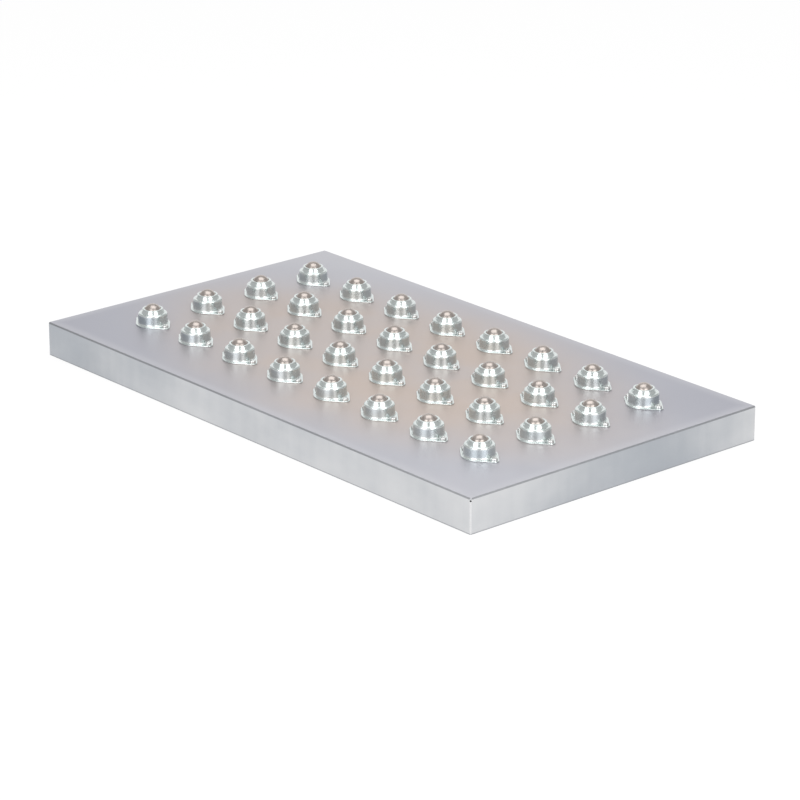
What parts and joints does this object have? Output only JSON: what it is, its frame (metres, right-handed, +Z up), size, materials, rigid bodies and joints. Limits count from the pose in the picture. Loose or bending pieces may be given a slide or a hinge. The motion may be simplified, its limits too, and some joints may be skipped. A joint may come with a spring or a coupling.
{
  "type": "ball transfer platform",
  "caption": "Low folded-steel platform, open underneath, with rows of flange-mounted ball transfer units on its deck so that a load can be pushed across it in any direction.",
  "frame": {"origin": "centre of the footprint, on the plane of the skirt's bottom edge", "axes": "+X along the platform's length, +Y across it from the front row of units to the rear row, +Z up"},
  "size_m": [0.91, 0.52, 0.0801],
  "materials": {
    "deck_sheet": "satin zinc-coated steel sheet with faint cloudy patches",
    "zinc_housing": "bright bluish zinc plating",
    "load_ball": "polished bearing steel, slightly warm",
    "bearing_ball": "polished bearing steel",
    "hardened_cup": "dark hardened steel",
    "zinc_fastener": "bright zinc plating"
  },
  "bodies": {
    "platform": {"deck_tray": "deck_sheet", "housings_row_a": "zinc_housing", "housings_row_b": "zinc_housing", "housings_row_c": "zinc_housing", "housings_row_d": "zinc_housing", "bearing_cups_row_a": "hardened_cup", "bearing_cups_row_b": "hardened_cup", "bearing_cups_row_c": "hardened_cup", "bearing_cups_row_d": "hardened_cup", "bearing_balls_row_a": "bearing_ball", "bearing_balls_row_b": "bearing_ball", "bearing_balls_row_c": "bearing_ball", "bearing_balls_row_d": "bearing_ball", "flange_screws_row_a": "zinc_fastener", "flange_screws_row_b": "zinc_fastener", "flange_screws_row_c": "zinc_fastener", "flange_screws_row_d": "zinc_fastener"},
    "ball_a1": {"load_ball_a1": "load_ball"},
    "ball_a2": {"load_ball_a2": "load_ball"},
    "ball_a3": {"load_ball_a3": "load_ball"},
    "ball_a4": {"load_ball_a4": "load_ball"},
    "ball_a5": {"load_ball_a5": "load_ball"},
    "ball_a6": {"load_ball_a6": "load_ball"},
    "ball_a7": {"load_ball_a7": "load_ball"},
    "ball_a8": {"load_ball_a8": "load_ball"},
    "ball_b1": {"load_ball_b1": "load_ball"},
    "ball_b2": {"load_ball_b2": "load_ball"},
    "ball_b3": {"load_ball_b3": "load_ball"},
    "ball_b4": {"load_ball_b4": "load_ball"},
    "ball_b5": {"load_ball_b5": "load_ball"},
    "ball_b6": {"load_ball_b6": "load_ball"},
    "ball_b7": {"load_ball_b7": "load_ball"},
    "ball_b8": {"load_ball_b8": "load_ball"},
    "ball_c1": {"load_ball_c1": "load_ball"},
    "ball_c2": {"load_ball_c2": "load_ball"},
    "ball_c3": {"load_ball_c3": "load_ball"},
    "ball_c4": {"load_ball_c4": "load_ball"},
    "ball_c5": {"load_ball_c5": "load_ball"},
    "ball_c6": {"load_ball_c6": "load_ball"},
    "ball_c7": {"load_ball_c7": "load_ball"},
    "ball_c8": {"load_ball_c8": "load_ball"},
    "ball_d1": {"load_ball_d1": "load_ball"},
    "ball_d2": {"load_ball_d2": "load_ball"},
    "ball_d3": {"load_ball_d3": "load_ball"},
    "ball_d4": {"load_ball_d4": "load_ball"},
    "ball_d5": {"load_ball_d5": "load_ball"},
    "ball_d6": {"load_ball_d6": "load_ball"},
    "ball_d7": {"load_ball_d7": "load_ball"},
    "ball_d8": {"load_ball_d8": "load_ball"}
  },
  "joints": [
    {"name": "roll_a1", "type": "hinge", "parent": "platform", "child": "ball_a1", "pos_m": [-0.35, -0.15, 0.06743], "axis": [0, 1, 0], "continuous": true},
    {"name": "roll_a2", "type": "hinge", "parent": "platform", "child": "ball_a2", "pos_m": [-0.25, -0.15, 0.06743], "axis": [0, 1, 0], "continuous": true},
    {"name": "roll_a3", "type": "hinge", "parent": "platform", "child": "ball_a3", "pos_m": [-0.15, -0.15, 0.06743], "axis": [0, 1, 0], "continuous": true},
    {"name": "roll_a4", "type": "hinge", "parent": "platform", "child": "ball_a4", "pos_m": [-0.05, -0.15, 0.06743], "axis": [0, 1, 0], "continuous": true},
    {"name": "roll_a5", "type": "hinge", "parent": "platform", "child": "ball_a5", "pos_m": [0.05, -0.15, 0.06743], "axis": [0, 1, 0], "continuous": true},
    {"name": "roll_a6", "type": "hinge", "parent": "platform", "child": "ball_a6", "pos_m": [0.15, -0.15, 0.06743], "axis": [0, 1, 0], "continuous": true},
    {"name": "roll_a7", "type": "hinge", "parent": "platform", "child": "ball_a7", "pos_m": [0.25, -0.15, 0.06743], "axis": [0, 1, 0], "continuous": true},
    {"name": "roll_a8", "type": "hinge", "parent": "platform", "child": "ball_a8", "pos_m": [0.35, -0.15, 0.06743], "axis": [0, 1, 0], "continuous": true},
    {"name": "roll_b1", "type": "hinge", "parent": "platform", "child": "ball_b1", "pos_m": [-0.35, -0.05, 0.06743], "axis": [0, 1, 0], "continuous": true},
    {"name": "roll_b2", "type": "hinge", "parent": "platform", "child": "ball_b2", "pos_m": [-0.25, -0.05, 0.06743], "axis": [0, 1, 0], "continuous": true},
    {"name": "roll_b3", "type": "hinge", "parent": "platform", "child": "ball_b3", "pos_m": [-0.15, -0.05, 0.06743], "axis": [0, 1, 0], "continuous": true},
    {"name": "roll_b4", "type": "hinge", "parent": "platform", "child": "ball_b4", "pos_m": [-0.05, -0.05, 0.06743], "axis": [0, 1, 0], "continuous": true},
    {"name": "roll_b5", "type": "hinge", "parent": "platform", "child": "ball_b5", "pos_m": [0.05, -0.05, 0.06743], "axis": [0, 1, 0], "continuous": true},
    {"name": "roll_b6", "type": "hinge", "parent": "platform", "child": "ball_b6", "pos_m": [0.15, -0.05, 0.06743], "axis": [0, 1, 0], "continuous": true},
    {"name": "roll_b7", "type": "hinge", "parent": "platform", "child": "ball_b7", "pos_m": [0.25, -0.05, 0.06743], "axis": [0, 1, 0], "continuous": true},
    {"name": "roll_b8", "type": "hinge", "parent": "platform", "child": "ball_b8", "pos_m": [0.35, -0.05, 0.06743], "axis": [0, 1, 0], "continuous": true},
    {"name": "roll_c1", "type": "hinge", "parent": "platform", "child": "ball_c1", "pos_m": [-0.35, 0.05, 0.06743], "axis": [0, 1, 0], "continuous": true},
    {"name": "roll_c2", "type": "hinge", "parent": "platform", "child": "ball_c2", "pos_m": [-0.25, 0.05, 0.06743], "axis": [0, 1, 0], "continuous": true},
    {"name": "roll_c3", "type": "hinge", "parent": "platform", "child": "ball_c3", "pos_m": [-0.15, 0.05, 0.06743], "axis": [0, 1, 0], "continuous": true},
    {"name": "roll_c4", "type": "hinge", "parent": "platform", "child": "ball_c4", "pos_m": [-0.05, 0.05, 0.06743], "axis": [0, 1, 0], "continuous": true},
    {"name": "roll_c5", "type": "hinge", "parent": "platform", "child": "ball_c5", "pos_m": [0.05, 0.05, 0.06743], "axis": [0, 1, 0], "continuous": true},
    {"name": "roll_c6", "type": "hinge", "parent": "platform", "child": "ball_c6", "pos_m": [0.15, 0.05, 0.06743], "axis": [0, 1, 0], "continuous": true},
    {"name": "roll_c7", "type": "hinge", "parent": "platform", "child": "ball_c7", "pos_m": [0.25, 0.05, 0.06743], "axis": [0, 1, 0], "continuous": true},
    {"name": "roll_c8", "type": "hinge", "parent": "platform", "child": "ball_c8", "pos_m": [0.35, 0.05, 0.06743], "axis": [0, 1, 0], "continuous": true},
    {"name": "roll_d1", "type": "hinge", "parent": "platform", "child": "ball_d1", "pos_m": [-0.35, 0.15, 0.06743], "axis": [0, 1, 0], "continuous": true},
    {"name": "roll_d2", "type": "hinge", "parent": "platform", "child": "ball_d2", "pos_m": [-0.25, 0.15, 0.06743], "axis": [0, 1, 0], "continuous": true},
    {"name": "roll_d3", "type": "hinge", "parent": "platform", "child": "ball_d3", "pos_m": [-0.15, 0.15, 0.06743], "axis": [0, 1, 0], "continuous": true},
    {"name": "roll_d4", "type": "hinge", "parent": "platform", "child": "ball_d4", "pos_m": [-0.05, 0.15, 0.06743], "axis": [0, 1, 0], "continuous": true},
    {"name": "roll_d5", "type": "hinge", "parent": "platform", "child": "ball_d5", "pos_m": [0.05, 0.15, 0.06743], "axis": [0, 1, 0], "continuous": true},
    {"name": "roll_d6", "type": "hinge", "parent": "platform", "child": "ball_d6", "pos_m": [0.15, 0.15, 0.06743], "axis": [0, 1, 0], "continuous": true},
    {"name": "roll_d7", "type": "hinge", "parent": "platform", "child": "ball_d7", "pos_m": [0.25, 0.15, 0.06743], "axis": [0, 1, 0], "continuous": true},
    {"name": "roll_d8", "type": "hinge", "parent": "platform", "child": "ball_d8", "pos_m": [0.35, 0.15, 0.06743], "axis": [0, 1, 0], "continuous": true}
  ]
}
